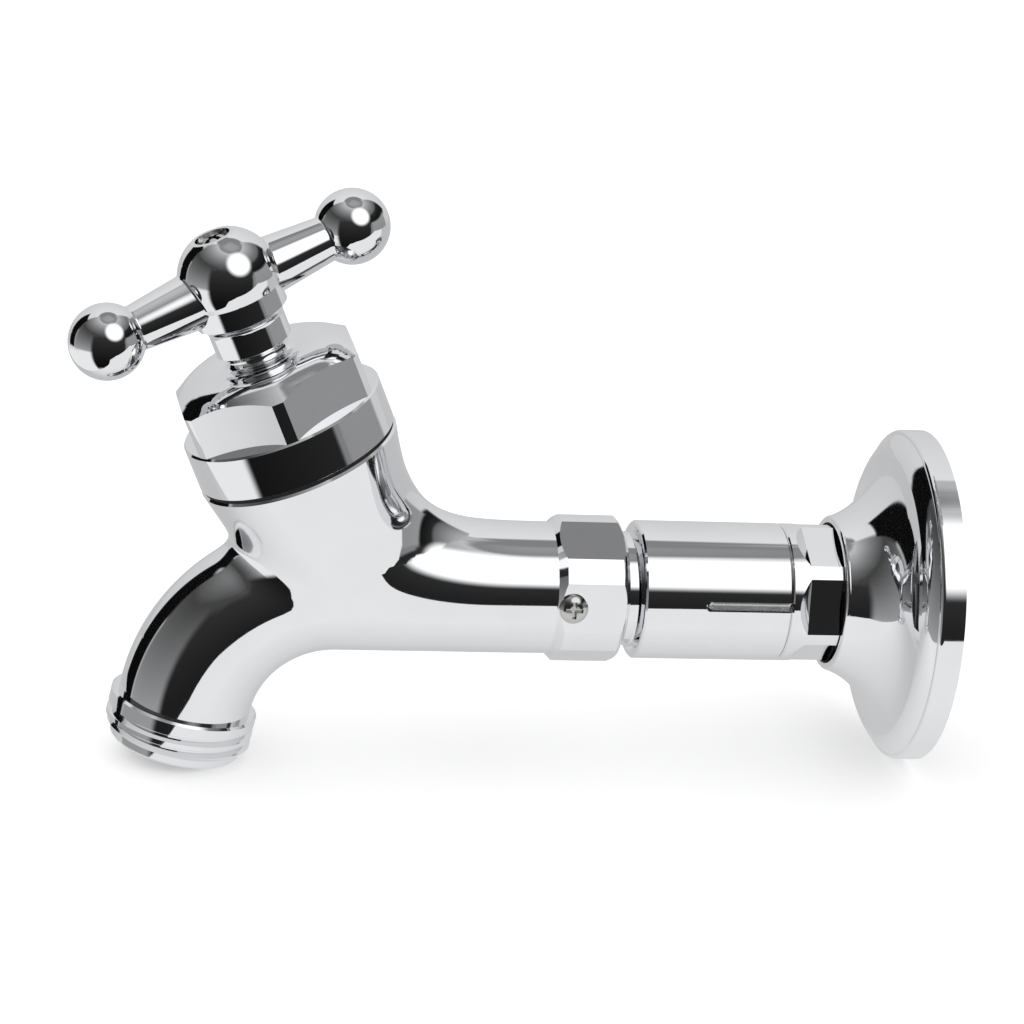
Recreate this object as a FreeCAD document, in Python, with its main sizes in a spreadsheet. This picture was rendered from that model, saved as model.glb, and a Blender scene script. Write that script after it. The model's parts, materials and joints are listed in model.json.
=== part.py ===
"""Garden tap on a wall extension: bib tap, bonnet, rising spindle, bar handle, extension and wall flange.

Millimetres and degrees. The origin is on the pipe's axis at the wall, +X points into the wall, +Z is up and
the tap reaches out towards -X. Turned pieces are drawn in their own frame, with +Z along their axis, and then
placed: the wall frame looks out of the wall, the bonnet frame up the leaning spindle, and the outlet frame
down the spout.
"""
import FreeCAD
import Part
import Sketcher
import math
import os

Vector = FreeCAD.Vector
Placement = FreeCAD.Placement
Rotation = FreeCAD.Rotation

# Driving sizes, each written once
SIZES = {
    # Running and seating clearances
    "running": 0.05,
    "seating": 0.05,
    "loose": 0.3,
    "overrun": 1.0,
    # Wall flange
    "flange_radius": 30.2,
    "flange_rim": 3.7,
    "flange_rim_wall": 1.8,
    "flange_edge_round": 0.9,
    "flange_shoulder_radius": 26.0,
    "flange_shoulder_height": 6.8,
    "flange_shoulder_round": 8.0,
    "flange_bell": 14.6,
    "flange_wall": 2.0,
    "flange_neck_wall": 1.7,
    "flange_neck_height": 16.5,
    "flange_lip": 0.7,
    "flange_mouth_gap": 0.4,
    "ring_inset": 2.3,
    "ring_width": 2.2,
    "ring_depth": 0.8,
    # Extension between the wall and the tap
    "wall_thread_radius": 10.478,
    "wall_thread_reach": 4.0,
    "wall_thread_length": 14.0,
    "thread_chamfer": 0.9,
    "extension_across": 22.8,
    "extension_flat_front": 23.25,
    "flat_ramp_angle": 61.0,
    "extension_turn": 7.0,
    "sleeve_radius": 12.5,
    "sleeve_back": 26.7,
    "sleeve_length": 27.0,
    "sleeve_bevel": 0.35,
    "sleeve_mouth_bevel": 0.9,
    "stem_radius": 10.9,
    "stem_length": 15.7,
    "extension_bore": 7.0,
    "seal_thick": 1.5,
    "key_width": 1.6,
    "key_length": 15.4,
    "key_seat": 10.0,
    "key_top": 12.4,
    "key_bevel": 0.5,
    "slot_length": 16.2,
    "round_end": 1.05,
    # Tap inlet
    "pipe_thread_radius": 10.478,
    "pipe_thread_pitch": 1.814,
    "pipe_thread_depth": 1.162,
    "pipe_thread_relief": 1.0,
    "thread_gap": 3.5,
    "inlet_hex_length": 12.7,
    "inlet_across": 25.0,
    "inlet_turn": 3.4,
    "inlet_corner": 13.3,
    "inlet_chamfer": 1.8,
    "inlet_chamfer_back": 0.7,
    "inlet_bore": 7.0,
    "lock_screw_inset": 3.0,
    "lock_head_radius": 2.6,
    "lock_head_height": 1.5,
    "lock_shank_radius": 1.45,
    "lock_shank_length": 3.4,
    "lock_cross": 0.75,
    "lock_cross_reach": 1.56,
    "lock_cross_depth": 0.9,
    "lock_head_side": 0.6,
    "lock_head_crown": 1.0,
    # Tap body
    "pipe_radius": 11.9,
    "bend_radius": 26.0,
    "spout_step": 24.3,
    "spout_lean": 9.6,
    "spout_drop": 22.9,
    "outlet_radius": 13.22,
    "outlet_length": 8.6,
    "outlet_pitch": 2.2,
    "outlet_thread_depth": 1.1,
    "outlet_ring": 1.1,
    "outlet_pilot": 1.6,
    "outlet_pilot_radius": 11.8,
    "outlet_bore": 9.0,
    "bonnet_step": 35.5,
    "bonnet_rise": 27.0,
    "bonnet_lean": 24.2,
    "chamber_radius": 18.2,
    "chamber_waist": 16.3,
    "chamber_waist_depth": 10.0,
    "chamber_bevel": 0.4,
    "blend_pipe": 16.5,
    "blend_side": 10.0,
    "blend_spout": 3.0,
    "web": 2.0,
    "cavity_radius": 13.0,
    "floor_depth": 17.2,
    # Bonnet
    "gasket_thick": 0.5,
    "collar_step": 0.05,
    "collar_height": 8.33,
    "collar_bevel": 0.35,
    "bonnet_across": 32.0,
    "bonnet_corner": 17.9,
    "bonnet_turn": 30.0,
    "corner_rise": 7.47,
    "chamfer_rise": 1.3,
    "dome_round": 10.5,
    "dome_radius": 6.8,
    "dome_rise": 2.0,
    "neck_radius": 5.3,
    "neck_rise": 1.9,
    "neck_cove": 1.4,
    "spigot_radius": 14.2,
    "spigot_length": 8.0,
    "lift_thread_radius": 6.2,
    "lift": 5.0,
    "jumper_pocket": 3.5,
    # Spindle and what it carries
    "spindle_radius": 4.4,
    "spindle_shoulder": 4.2,
    "spindle_play": 0.5,
    "square_across": 5.6,
    "square_rise": 2.0,
    "square_length": 12.0,
    "oring_wire": 1.3,
    "oring_squeeze": 0.1,
    "oring_rise": 1.5,
    "oring_step": 3.2,
    "thrust_thick": 1.0,
    "thrust_radius": 6.1,
    # Valve
    "seat_rise": 1.25,
    "seat_radius": 7.0,
    "seat_hole": 5.0,
    "seat_length": 3.6,
    "seat_lip": 6.1,
    "seat_bevel": 0.6,
    "jumper_radius": 7.0,
    "jumper_thick": 1.8,
    "stem_pin_radius": 3.0,
    "stem_pin_length": 8.0,
    "washer_radius": 6.9,
    "washer_thick": 3.4,
    "stud_radius": 1.5,
    "stud_length": 6.4,
    "plate_radius": 3.6,
    "plate_thick": 0.7,
    "nut_across": 5.5,
    "nut_thick": 2.2,
    "valve_gap": 0.1,
    # Handle
    "handle_turn": 13.0,
    "hub_radius": 8.9,
    "hub_rise": 13.1,
    "hub_cap": 7.9,
    "hub_skirt_radius": 8.25,
    "hub_skirt_drop": 6.9,
    "hub_collar_radius": 6.9,
    "hub_cove": 1.9,
    "hub_edge": 0.4,
    "arm_fillet": 0.6,
    "arm_drop": 1.2,
    "arm_reach": 23.9,
    "ball_radius": 6.72,
    "arm_root_radius": 5.5,
    "arm_tip_radius": 3.6,
    "recess_radius": 3.2,
    "recess_depth": 2.7,
    "handle_screw_head": 2.85,
    "handle_screw_height": 1.9,
    "handle_screw_shank": 1.95,
    "handle_screw_length": 11.0,
    "handle_cross": 0.9,
    "handle_cross_reach": 1.71,
    "handle_cross_depth": 1.14,
    "handle_screw_side": 0.76,
    "handle_screw_crown": 1.14,
    "handle_screw_round": 3.4,
    "handle_screw_turn": 25.0,
    "lock_washer_thick": 0.6,
}


# Shape of a thread groove, as shares of the distance between two turns
GROOVE_HALF_MOUTH = 0.38
GROOVE_HALF_ROOT = 0.05

# Turn at which a thread groove starts, clear of the seam of the rod that it is cut from
GROOVE_START_TURN = 90


class Size:
    """A number together with the sheet expression that gives it."""

    def __init__(self, value, text):
        self.value = float(value)
        self.text = text

    def joined(self, other, sign, value):
        return Size(value, f"({self.text} {sign} {as_size(other).text})")

    def __add__(self, other):
        return self.joined(other, "+", self.value + as_size(other).value)

    def __sub__(self, other):
        return self.joined(other, "-", self.value - as_size(other).value)

    def __mul__(self, other):
        return self.joined(other, "*", self.value * as_size(other).value)

    def __truediv__(self, other):
        return self.joined(other, "/", self.value / as_size(other).value)

    def __neg__(self):
        return Size(-self.value, f"(-1 * {self.text})")

    def root(self):
        return Size(math.sqrt(self.value), f"sqrt({self.text})")


def as_size(number):
    """A plain number as a Size."""
    return number if isinstance(number, Size) else Size(number, repr(float(number)))


class SizeSheet:
    """The document's sheet of driving sizes, read as attributes."""

    def __init__(self, document, sizes):
        self.cells = document.addObject("Spreadsheet::Sheet", "sizes")
        for row, (name, value) in enumerate(sizes.items(), start=1):
            self.cells.set(f"A{row}", str(value))
            self.cells.setAlias(f"A{row}", name)
        document.recompute()

    def __getattr__(self, name):
        return Size(self.cells.get(name), f"sizes.{name}")


doc = FreeCAD.newDocument("garden_tap")
size = SizeSheet(doc, SIZES)
pieces = []

# Places along the pipe, measured out of the wall
sleeve_front = size.sleeve_back + size.sleeve_length
stem_front = size.sleeve_back + size.stem_length
inlet_end = stem_front + size.seal_thick + size.seating * 2
hexagon_back = sleeve_front + size.thread_gap
hexagon_front = hexagon_back + size.inlet_hex_length
lock_screw_reach = hexagon_front - size.lock_screw_inset
bonnet_reach = hexagon_front + size.bonnet_step
spout_reach = bonnet_reach + size.spout_step

# The ring in the flange's mouth, the collar that is flush with the chamber, and the flange's neck
ring_middle = size.flange_neck_height + size.flange_lip - size.ring_inset
collar_radius = size.chamber_radius - size.collar_step
flange_neck_radius = size.sleeve_radius + size.flange_neck_wall

# Heights along the bonnet's axis, measured from the seam under its collar
seat_top = size.seat_rise - size.floor_depth
valve_foot = seat_top + size.valve_gap
washer_top = valve_foot + size.washer_thick
disc_top = washer_top + size.jumper_thick - size.running
spindle_foot = disc_top + size.spindle_play
thrust_top = size.spindle_shoulder + size.thrust_thick
lift_shoulder = thrust_top + size.lift + size.loose
lower_oring = lift_shoulder + size.oring_rise
upper_oring = lower_oring + size.oring_step
corner_height = size.collar_height + size.corner_rise
flat_height = corner_height + size.chamfer_rise
dome_height = flat_height + size.dome_rise
neck_height = dome_height + size.neck_rise
hub_foot = neck_height + size.loose
square_foot = neck_height + size.square_rise
square_top = square_foot + size.square_length
hub_height = hub_foot + size.hub_rise
hub_flat = hub_height + size.hub_cap
arm_height = hub_height - size.arm_drop
lock_washer_seat = hub_flat - size.recess_depth
screw_seat = lock_washer_seat + size.lock_washer_thick


def origin_plane(body, role):
    """One of a body's own origin planes or axes."""
    return [feature for feature in body.Origin.OriginFeatures if feature.Role == role][0]


def new_body(name):
    """An empty body that becomes one sub-part."""
    body = doc.addObject("PartDesign::Body", name)
    body.Label = name
    pieces.append(body)
    return body


def new_sketch(body, name, role="XZ_Plane", offset=None):
    """A sketch on one of the body's origin planes, moved along its normal by a size."""
    sketch = body.newObject("Sketcher::SketchObject", f"{body.Name}_{name}")
    sketch.AttachmentSupport = [(origin_plane(body, role), "")]
    sketch.MapMode = "FlatFace"
    if offset is not None:
        sketch.AttachmentOffset = Placement(Vector(0, 0, offset.value), Rotation())
        sketch.setExpression("AttachmentOffset.Base.z", offset.text)
    return sketch


def pin_point(sketch, geometry, end, x, y):
    """Fix a point of the sketch at two sizes from its origin."""
    for axis, kind, number in ((-2, "DistanceX", x), (-1, "DistanceY", y)):
        number = as_size(number)
        if abs(number.value) < 1e-9:
            sketch.addConstraint(Sketcher.Constraint("PointOnObject", geometry, end, axis))
            continue
        index = sketch.addConstraint(Sketcher.Constraint(kind, -1, 1, geometry, end, number.value))
        sketch.setExpression(f"Constraints[{index}]", number.text)


def arc_between(first, last, radius, side):
    """The short arc between two points, with its centre to the left (1) or right (-1) of the way."""
    chord = last - first
    left = Vector(-chord.y, chord.x, 0).normalize()
    rise = math.sqrt(max(radius ** 2 - (chord.Length / 2) ** 2, 0.0))
    centre = (first + last) / 2 + left * (side * rise)
    start, end = (first, last) if side > 0 else (last, first)
    angles = [math.atan2(point.y - centre.y, point.x - centre.x) for point in (start, end)]
    if angles[1] <= angles[0]:
        angles[1] += 2 * math.pi
    return Part.ArcOfCircle(Part.Circle(centre, Vector(0, 0, 1), radius), angles[0], angles[1])


def draw_outline(sketch, corners):
    """Draw a closed outline. A corner is (x, y), or (x, y, radius, side) where an arc leaves it."""
    flat = [Vector(as_size(corner[0]).value, as_size(corner[1]).value, 0) for corner in corners]
    ends = []
    for index, corner in enumerate(corners):
        first, last = flat[index], flat[(index + 1) % len(corners)]
        if len(corner) == 2:
            sketch.addGeometry(Part.LineSegment(first, last))
            ends.append((1, 2))
            continue
        radius, side = as_size(corner[2]), corner[3]
        sketch.addGeometry(arc_between(first, last, radius.value, side))
        ends.append((1, 2) if side > 0 else (2, 1))
        bend = sketch.addConstraint(Sketcher.Constraint("Radius", index, radius.value))
        sketch.setExpression(f"Constraints[{bend}]", radius.text)
    for index, corner in enumerate(corners):
        follower = (index + 1) % len(corners)
        joint = Sketcher.Constraint("Coincident", index, ends[index][1], follower, ends[follower][0])
        sketch.addConstraint(joint)
        pin_point(sketch, index, ends[index][0], corner[0], corner[1])


def turned(name, corners, cut=False, body=None):
    """A body of revolution about its +Z axis, from an outline of (radius, height) corners."""
    body = body or new_body(name)
    sketch = new_sketch(body, f"{name}_outline")
    draw_outline(sketch, corners)
    kind = "PartDesign::Groove" if cut else "PartDesign::Revolution"
    feature = body.newObject(kind, f"{name}_turned")
    feature.Profile = sketch
    feature.ReferenceAxis = (sketch, ["V_Axis"])
    feature.Angle = 360
    body.Tip = feature
    return body


def pocketed(body, name, corners, depth, role="XZ_Plane", offset=None, outward=True, taper=0.0):
    """Cut an outline out of a body, away from (outward) or into the side that its plane faces."""
    sketch = new_sketch(body, name, role, offset)
    draw_outline(sketch, corners)
    pocket = body.newObject("PartDesign::Pocket", f"{body.Name}_{name}_cut")
    pocket.Profile = sketch
    pocket.Length = as_size(depth).value
    pocket.setExpression("Length", as_size(depth).text)
    pocket.Reversed = outward
    pocket.TaperAngle = taper
    body.Tip = pocket
    return pocket


def padded(body, name, corners, depth, role="XY_Plane", offset=None, taper=0.0):
    """Raise an outline from a body's plane by a size, with sides that lean by the taper."""
    sketch = new_sketch(body, name, role, offset)
    draw_outline(sketch, corners)
    pad = body.newObject("PartDesign::Pad", f"{body.Name}_{name}_pad")
    pad.Profile = sketch
    pad.Length = as_size(depth).value
    pad.setExpression("Length", as_size(depth).text)
    pad.TaperAngle = taper
    body.Tip = pad
    return pad


def round_the_axis(body, feature, count):
    """Repeat a feature evenly round the body's +Z axis."""
    doc.recompute()
    pattern = body.newObject("PartDesign::PolarPattern", f"{feature.Name}_round")
    pattern.Originals = [feature]
    pattern.Axis = (origin_plane(body, "Z_Axis"), [""])
    pattern.Angle = 360
    pattern.Occurrences = count
    body.Tip = pattern


def box_corners(x_low, x_high, y_low, y_high):
    """A rectangle as outline corners."""
    return [(x_low, y_low), (x_high, y_low), (x_high, y_high), (x_low, y_high)]


def cross_recess(body, half_length, half_width, top, depth):
    """A cross slot cut down from the top of a screw head."""
    arms = (("slot_x", half_length, half_width), ("slot_y", half_width, half_length))
    for name, half_x, half_y in arms:
        corners = box_corners(-half_x, half_x, -half_y, half_y)
        pocketed(body, name, corners, depth, "XY_Plane", top, outward=False)


def hex_flats(body, across, low, high, reach):
    """Six flats milled on a turned body between two heights."""
    corners = box_corners(-reach, reach, low, high)
    flat = pocketed(body, "flat", corners, reach, "XZ_Plane", across / 2)
    round_the_axis(body, flat, 6)


# Frames

def wall_frame(turn=0.0):
    """The frame that looks out of the wall along the pipe, turned about the pipe."""
    return Placement(Vector(0, 0, 0), Rotation(Vector(0, 1, 0), -90) * Rotation(Vector(0, 0, 1), turn))


def bonnet_frame(turn=0.0):
    """The frame of the leaning spindle, with its origin on the seam under the bonnet's collar."""
    lean = math.radians(size.bonnet_lean.value)
    up = Vector(-math.sin(lean), 0, math.cos(lean))
    base = Vector(-bonnet_reach.value, 0, 0) + up * size.bonnet_rise.value
    tilt = Rotation(Vector(0, -1, 0), size.bonnet_lean.value)
    return Placement(base, tilt * Rotation(Vector(0, 0, 1), turn))


def outlet_frame():
    """The frame that looks down the spout, with its origin at the top of the hose thread."""
    lean = math.radians(size.spout_lean.value)
    down = Vector(-math.sin(lean), 0, -math.cos(lean))
    base = Vector(-spout_reach.value, 0, 0) + down * size.spout_drop.value
    return Placement(base, Rotation(Vector(0, 1, 0), 180 + size.spout_lean.value))


# Wall end

def bell_centre():
    """The centre of the bell's hollow curve, from its two ends and its radius."""
    run = size.flange_shoulder_radius - flange_neck_radius
    rise = size.flange_neck_height - size.flange_shoulder_height
    chord = (run * run + rise * rise).root()
    offset = (size.flange_bell * size.flange_bell - chord * chord / 4).root()
    radius = (size.flange_shoulder_radius + flange_neck_radius) / 2 + rise * offset / chord
    height = (size.flange_shoulder_height + size.flange_neck_height) / 2 + run * offset / chord
    return radius, height


def make_wall_flange():
    """Hollow bell flange that covers the hole in the wall and slides along the extension."""
    centre_radius, centre_height = bell_centre()
    inner_bell = size.flange_bell + size.flange_wall
    mouth = size.sleeve_radius + size.flange_mouth_gap
    groove = size.sleeve_radius + size.ring_depth + size.running
    ring_low = ring_middle - size.ring_width / 2 - size.running
    ring_high = ring_middle + size.ring_width / 2 + size.running
    throat_height = ring_low - size.flange_lip
    drop = centre_height - throat_height
    throat = centre_radius - (inner_bell * inner_bell - drop * drop).root()
    plate_inner = size.flange_shoulder_radius - size.flange_wall
    run = centre_radius - plate_inner
    plate_foot = centre_height - (inner_bell * inner_bell - run * run).root()
    rim_inner = size.flange_radius - size.flange_rim_wall
    edge = size.flange_edge_round
    lip_top = size.flange_neck_height + size.flange_lip
    corners = [
        (rim_inner, 0),
        (size.flange_radius, 0),
        (size.flange_radius, size.flange_rim, edge, 1),
        (size.flange_radius - edge, size.flange_rim + edge, size.flange_shoulder_round, 1),
        (size.flange_shoulder_radius, size.flange_shoulder_height, size.flange_bell, -1),
        (flange_neck_radius, size.flange_neck_height, size.flange_lip, 1),
        (flange_neck_radius - size.flange_lip, lip_top),
        (mouth, lip_top),
        (mouth, ring_high),
        (groove, ring_high),
        (groove, ring_low),
        (mouth, ring_low),
        (mouth, throat_height),
        (throat, throat_height, inner_bell, 1),
        (plate_inner, plate_foot),
        (rim_inner, size.flange_rim - edge),
    ]
    turned("wall_flange", corners).Placement = wall_frame()


def make_flange_ring():
    """Rubber ring in the flange's mouth that grips the extension."""
    inner = size.sleeve_radius + size.running
    outer = size.sleeve_radius + size.ring_depth
    low = ring_middle - size.ring_width / 2
    high = ring_middle + size.ring_width / 2
    turned("flange_ring", box_corners(inner, outer, low, high)).Placement = wall_frame()


def make_extension_body():
    """Nipple with the wall thread, the hexagon and the stem that carries the sleeve."""
    end = -size.wall_thread_reach
    shoulder = end + size.wall_thread_length
    bevel = size.thread_chamfer
    edge = size.sleeve_bevel
    corners = [
        (size.extension_bore, end),
        (size.wall_thread_radius - bevel, end),
        (size.wall_thread_radius, end + bevel),
        (size.wall_thread_radius, shoulder),
        (size.sleeve_radius - edge, shoulder),
        (size.sleeve_radius, shoulder + edge),
        (size.sleeve_radius, size.sleeve_back - edge),
        (size.sleeve_radius - edge, size.sleeve_back),
        (size.stem_radius, size.sleeve_back),
        (size.stem_radius, stem_front),
        (size.extension_bore, stem_front),
    ]
    body = turned("extension_body", corners)
    reach = size.sleeve_radius
    outline = box_corners(-reach, reach, shoulder - reach, size.extension_flat_front)
    ramp = size.flat_ramp_angle.value
    flat = pocketed(body, "flat", outline, size.key_width, "XZ_Plane", size.extension_across / 2, taper=ramp)
    round_the_axis(body, flat, 6)
    doc.recompute()
    side = size.key_width / 2 + size.seating
    keyway = box_corners(-side, side, size.sleeve_back - edge, stem_front + edge)
    pocketed(body, "keyway", keyway, size.stem_radius, "XZ_Plane", size.key_seat)
    body.Placement = wall_frame(size.extension_turn.value)


def make_extension_sleeve():
    """Round sleeve over the stem, threaded for the tap and slotted for the key."""
    low = size.sleeve_back + size.seating
    guide = size.stem_radius + size.seating
    thread = size.pipe_thread_radius + size.running
    step = stem_front - size.seating
    bevel = size.sleeve_bevel
    corners = [
        (guide, low),
        (size.sleeve_radius - bevel, low),
        (size.sleeve_radius, low + bevel),
        (size.sleeve_radius, sleeve_front - bevel),
        (size.sleeve_radius - bevel, sleeve_front),
        (thread + size.sleeve_mouth_bevel, sleeve_front),
        (thread, sleeve_front - size.sleeve_mouth_bevel),
        (thread, step + size.seating * 2),
        (guide, step + size.seating * 2),
    ]
    body = turned("extension_sleeve", corners)
    half = size.key_width / 2 + size.seating * 2
    top = size.sleeve_back + size.slot_length - half
    foot = size.sleeve_back - bevel
    outline = [(-half, foot), (half, foot), (half, top, half * size.round_end, 1), (-half, top)]
    pocketed(body, "slot", outline, size.sleeve_radius, "XZ_Plane", size.key_seat)
    body.Placement = wall_frame(size.extension_turn.value)


def make_sleeve_key():
    """Key with a bevelled top, in the stem, that stops the sleeve from turning."""
    body = new_body("sleeve_key")
    half = size.key_width / 2
    low = size.sleeve_back + size.seating * 2
    top = low + size.key_length - half
    outline = [(-half, low), (half, low), (half, top, half * size.round_end, 1), (-half, top)]
    side = size.key_top - size.key_bevel
    padded(body, "bar", outline, side - size.key_seat, "XZ_Plane", size.key_seat)
    padded(body, "crown", outline, size.key_bevel, "XZ_Plane", side, -45.0)
    body.Placement = wall_frame(size.extension_turn.value)


def make_inlet_seal():
    """Flat rubber seal between the tap's inlet and the extension's stem."""
    low = stem_front + size.seating
    high = inlet_end - size.seating
    inner = size.extension_bore + size.loose
    outer = size.pipe_thread_radius - size.running
    turned("inlet_seal", box_corners(inner, outer, low, high)).Placement = wall_frame()


# Tap body

def turned_solid(corners, frame):
    """A solid turned about +Z from plain (radius, height) corners, then placed."""
    points = [Vector(radius, 0, height) for radius, height in corners]
    face = Part.Face(Part.makePolygon(points + points[:1]))
    solid = face.revolve(Vector(0, 0, 0), Vector(0, 0, 1), 360)
    solid.Placement = frame
    return solid


def rod(radius, low, high, frame):
    """A round rod along a frame's +Z axis."""
    solid = Part.makeCylinder(radius, high - low, Vector(0, 0, low))
    solid.Placement = frame
    return solid


def spout_line():
    """The points of the tube's middle line: hexagon, bend start, bend middle, bend end, thread."""
    lean = math.radians(size.spout_lean.value)
    down = Vector(-math.sin(lean), 0, -math.cos(lean))
    turn = math.pi / 2 - lean
    bend = size.bend_radius.value
    corner = Vector(-spout_reach.value, 0, 0)
    tangent = bend * math.tan(turn / 2)
    start = corner + Vector(tangent, 0, 0)
    middle_angle = math.pi / 2 + turn / 2
    middle = Vector(start.x + bend * math.cos(middle_angle), 0, -bend + bend * math.sin(middle_angle))
    hexagon = Vector(-hexagon_front.value, 0, 0)
    return hexagon, start, middle, corner + down * tangent, corner + down * size.spout_drop.value


def tube(radius, points):
    """A round tube along straight, bend, straight."""
    first, start, middle, end, last = points
    path = [Part.makeLine(first, start), Part.Arc(start, middle, end).toShape(), Part.makeLine(end, last)]
    ring = Part.Wire([Part.makeCircle(radius, first, start - first)])
    return Part.Wire(path).makePipeShell([ring], True, False)


def chamber_solid():
    """The barrel that holds the bonnet, closed by a round bottom inside the tube."""
    rim = -size.gasket_thick.value
    bevel = size.chamber_bevel.value
    waist = size.chamber_waist.value
    depth = -size.chamber_waist_depth.value
    radius = size.chamber_radius.value
    corners = [
        Vector(0, 0, rim), Vector(radius - bevel, 0, rim), Vector(radius, 0, rim - bevel),
        Vector(waist, 0, depth),
    ]
    low = Vector(waist * math.cos(math.pi / 4), 0, depth - waist * math.sin(math.pi / 4))
    bottom = Vector(0, 0, depth - waist)
    edges = [Part.makeLine(first, last) for first, last in zip(corners, corners[1:])]
    edges += [Part.Arc(corners[-1], low, bottom).toShape(), Part.makeLine(bottom, corners[0])]
    solid = Part.Face(Part.Wire(edges)).revolve(Vector(0, 0, 0), Vector(0, 0, 1), 360)
    span = 4 * radius
    sides = [Part.makeBox(span, span, span, Vector(-span / 2, low_y, -span / 2)) for low_y in (0, -span)]
    halves = solid.common(sides[0]).fuse(solid.common(sides[1]))
    halves.Placement = bonnet_frame()
    return halves


def blended_shell():
    """Tube and chamber joined, with a wide blend towards the pipe and a tight one over the spout."""
    joined = doc.addObject("Part::Feature", "body_joined")
    joined.Shape = tube(size.pipe_radius.value, spout_line()).fuse(chamber_solid()).Solids[0]
    blend = doc.addObject("Part::Fillet", "body_blend")
    blend.Base = joined
    blend.Edges = blend_edges(joined.Shape)
    doc.recompute()
    return blend.Shape.Solids[0]


def blend_radius(point):
    """How wide the blend is at a point of the seam between tube and chamber."""
    if abs(point.y) > size.pipe_radius.value / 2:
        return size.blend_side.value
    over_pipe = point.x > -bonnet_reach.value
    return size.blend_pipe.value if over_pipe else size.blend_spout.value


def blend_edges(solid):
    """The edges of the seam between tube and chamber, each with the radius at its two ends.

    The blend runs once round the seam, leftwards as seen from above. An edge that is stored the other way
    round gives its two radii in turn.
    """
    middle = Vector(-bonnet_reach.value - size.pipe_radius.value / 2, 0, 0)
    edges = []
    for index, edge in enumerate(solid.Edges, start=1):
        if edge.Curve.TypeId != "Part::GeomBSplineCurve":
            continue
        first, last = edge.valueAt(edge.FirstParameter), edge.valueAt(edge.LastParameter)
        radii = (blend_radius(first), blend_radius(last))
        leftwards = (first - middle).cross(last - middle).z > 0
        edges.append((index, *(radii if leftwards else radii[::-1])))
    return edges


def hex_prism(across, corner, low, high, chamfer_low, chamfer_high, turn):
    """A hexagon along the pipe with turned corners and chamfered ends."""
    corners = [
        (0, low), (corner - chamfer_low, low), (corner, low + chamfer_low),
        (corner, high - chamfer_high), (corner - chamfer_high, high), (0, high),
    ]
    blank = turned_solid(corners, Placement())
    point = Vector(0, across / math.sqrt(3), low)
    points = [Rotation(Vector(0, 0, 1), 60 * step + 30).multVec(point) for step in range(7)]
    prism = Part.Face(Part.makePolygon(points)).extrude(Vector(0, 0, high - low))
    solid = blank.common(prism)
    solid.Placement = wall_frame(turn)
    return solid


def thread_groove(radius, depth, pitch, low, high, frame):
    """The helical groove that is cut from a rod along a frame's +Z axis to leave a thread."""
    outside = radius + depth / 4
    half = pitch * GROOVE_HALF_MOUTH
    root = pitch * GROOVE_HALF_ROOT
    helix = Part.makeHelix(pitch, high - low, radius)
    profile = Part.makePolygon([
        Vector(outside, 0, -half), Vector(radius - depth, 0, -root), Vector(radius - depth, 0, root),
        Vector(outside, 0, half), Vector(outside, 0, -half),
    ])
    groove = Part.Wire(helix).makePipeShell([profile], True, True)
    groove.Placement = frame * Placement(Vector(0, 0, low), Rotation(Vector(0, 0, 1), GROOVE_START_TURN))
    return groove


def inlet_rod():
    """The end that screws into the sleeve, before its thread is cut."""
    radius, depth = size.pipe_thread_radius.value, size.pipe_thread_depth.value
    low, high = inlet_end.value, hexagon_back.value
    relief = high - size.pipe_thread_relief.value
    core = radius - depth
    inside_hexagon = high + size.web.value
    corners = [
        (0, low), (core, low), (radius, low + depth), (radius, relief), (core, relief),
        (core, inside_hexagon), (0, inside_hexagon),
    ]
    return turned_solid(corners, wall_frame())


def inlet_groove():
    """The thread groove of the inlet."""
    pitch = size.pipe_thread_pitch.value
    low = inlet_end.value - pitch
    high = hexagon_back.value - size.pipe_thread_relief.value - pitch / 3
    radius, depth = size.pipe_thread_radius.value, size.pipe_thread_depth.value
    return thread_groove(radius, depth, pitch, low, high, wall_frame())


def outlet_rod():
    """The end of the spout with its top ring and its plain lead, before the hose thread is cut."""
    radius, depth = size.outlet_radius.value, size.outlet_thread_depth.value
    length = size.outlet_length.value
    pilot = size.outlet_pilot_radius.value
    thread_end = length - size.outlet_pilot.value
    bevel = size.chamber_bevel.value
    inside_spout = size.pipe_radius.value - size.web.value / 2
    corners = [
        (0, -size.web.value), (inside_spout, -size.web.value), (inside_spout, 0), (radius - bevel, 0),
        (radius, bevel), (radius, thread_end - depth), (pilot, thread_end), (pilot, length - bevel),
        (pilot - bevel, length), (0, length),
    ]
    return turned_solid(corners, outlet_frame())


def outlet_groove():
    """The groove of the hose thread, which starts below the top ring."""
    pitch = size.outlet_pitch.value
    low = size.outlet_ring.value + pitch * GROOVE_HALF_MOUTH
    high = size.outlet_length.value - size.outlet_pilot.value
    radius, depth = size.outlet_radius.value, size.outlet_thread_depth.value
    return thread_groove(radius, depth, pitch, low, high, outlet_frame())


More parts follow.
